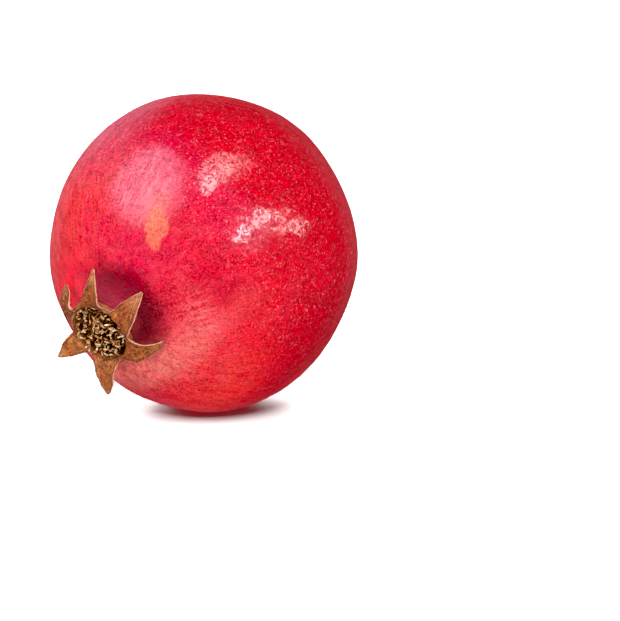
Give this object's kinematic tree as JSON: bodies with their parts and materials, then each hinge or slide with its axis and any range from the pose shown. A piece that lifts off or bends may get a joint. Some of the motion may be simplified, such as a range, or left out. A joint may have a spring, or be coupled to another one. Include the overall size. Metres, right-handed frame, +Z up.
{
  "type": "pomegranate",
  "caption": "Whole fresh pomegranate lying on its side, with a curled woody crown full of dried stamens and a clipped stem.",
  "frame": {"origin": "middle of the small flat spot under the rind, on the surface that the fruit rests on", "axes": "+Z up; the crown points along -Y, dipped 17.6 degrees below the horizontal, and the stem is at +Y; +X is to the right when looking from the crown's side along +Y"},
  "size_m": [0.0858, 0.0932, 0.088],
  "materials": {
    "rind": "glossy crimson fruit skin, pink and orange in places, with fine pale specks",
    "crown": "matte, dry and leathery, golden brown with paler edges",
    "stamens": "matte dried threads, cream to dark brown",
    "stem": "matte, fibrous, grey-brown"
  },
  "bodies": {
    "root": {"fruit_body": "rind", "calyx_crown": "crown", "stamen_tuft": "stamens", "stem_stub": "stem"}
  },
  "joints": []
}
